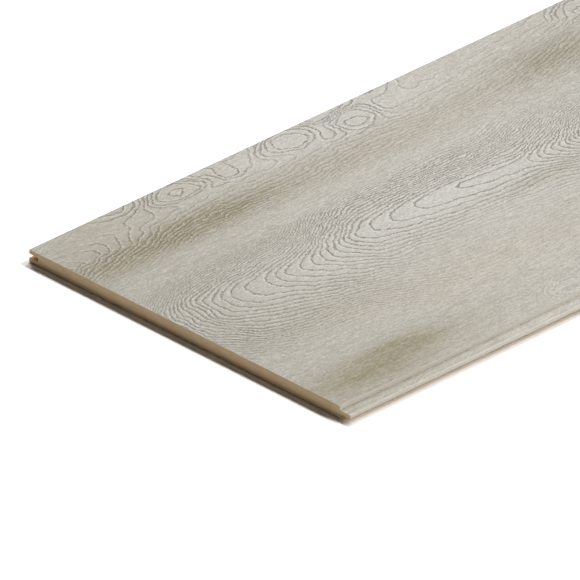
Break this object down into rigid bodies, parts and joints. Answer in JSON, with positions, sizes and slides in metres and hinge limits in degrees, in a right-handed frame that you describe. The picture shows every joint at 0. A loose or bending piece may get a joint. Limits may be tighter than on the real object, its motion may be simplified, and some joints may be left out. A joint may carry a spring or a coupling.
{
  "type": "mdf wall panel",
  "caption": "Long flat MDF board with a grey oak wood-grain face, a tongue along one long edge and a groove along the other, for lining walls and ceilings.",
  "frame": {"origin": "middle of the back face, which lies on the floor with the decor face up", "axes": "+X across the panel from the groove edge to the tongue edge, +Y along its length, +Z from the back to the decor face"},
  "size_m": [0.246, 2.6, 0.008],
  "materials": {
    "board": "MDF board with a matt, embossed grey oak decor foil over the face, the step and the tongue"
  },
  "bodies": {
    "root": {"wall_panel": "board"}
  },
  "joints": []
}
